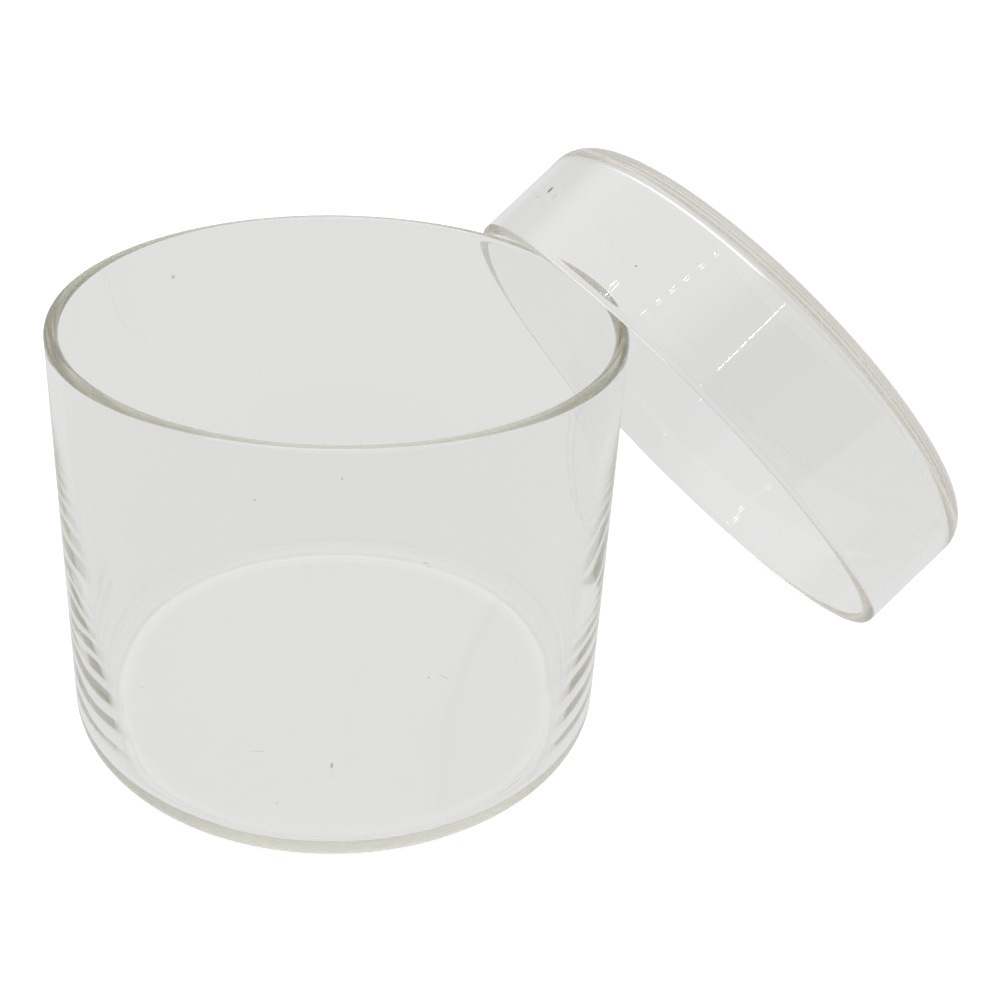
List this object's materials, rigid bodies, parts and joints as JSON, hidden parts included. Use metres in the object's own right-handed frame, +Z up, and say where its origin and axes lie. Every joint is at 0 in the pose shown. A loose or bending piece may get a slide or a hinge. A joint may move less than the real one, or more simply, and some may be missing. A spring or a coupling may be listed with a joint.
{
  "type": "crystallizing dish with lid",
  "caption": "Clear straight-walled glass dish for evaporating and growing crystals, with its loose cap lid taken off and leaning on the rim.",
  "frame": {"origin": "centre of the dish's underside, on the surface that it stands on", "axes": "+Z up along the dish's axis; +X from the dish towards the leaning lid; +Y to the left of +X"},
  "size_m": [0.1755, 0.11, 0.1002],
  "materials": {
    "dish_glass": "clear, fire-polished, faint olive-green edge tint",
    "lid_glass": "clear, fire-polished, faint olive-green edge tint"
  },
  "bodies": {
    "dish": {"dish": "dish_glass"},
    "lid": {"lid": "lid_glass"}
  },
  "joints": [
    {"name": "lid_lift", "type": "slide", "parent": "dish", "child": "lid", "axis": [0, 0, 1], "range_m": [0, 0.12]}
  ]
}
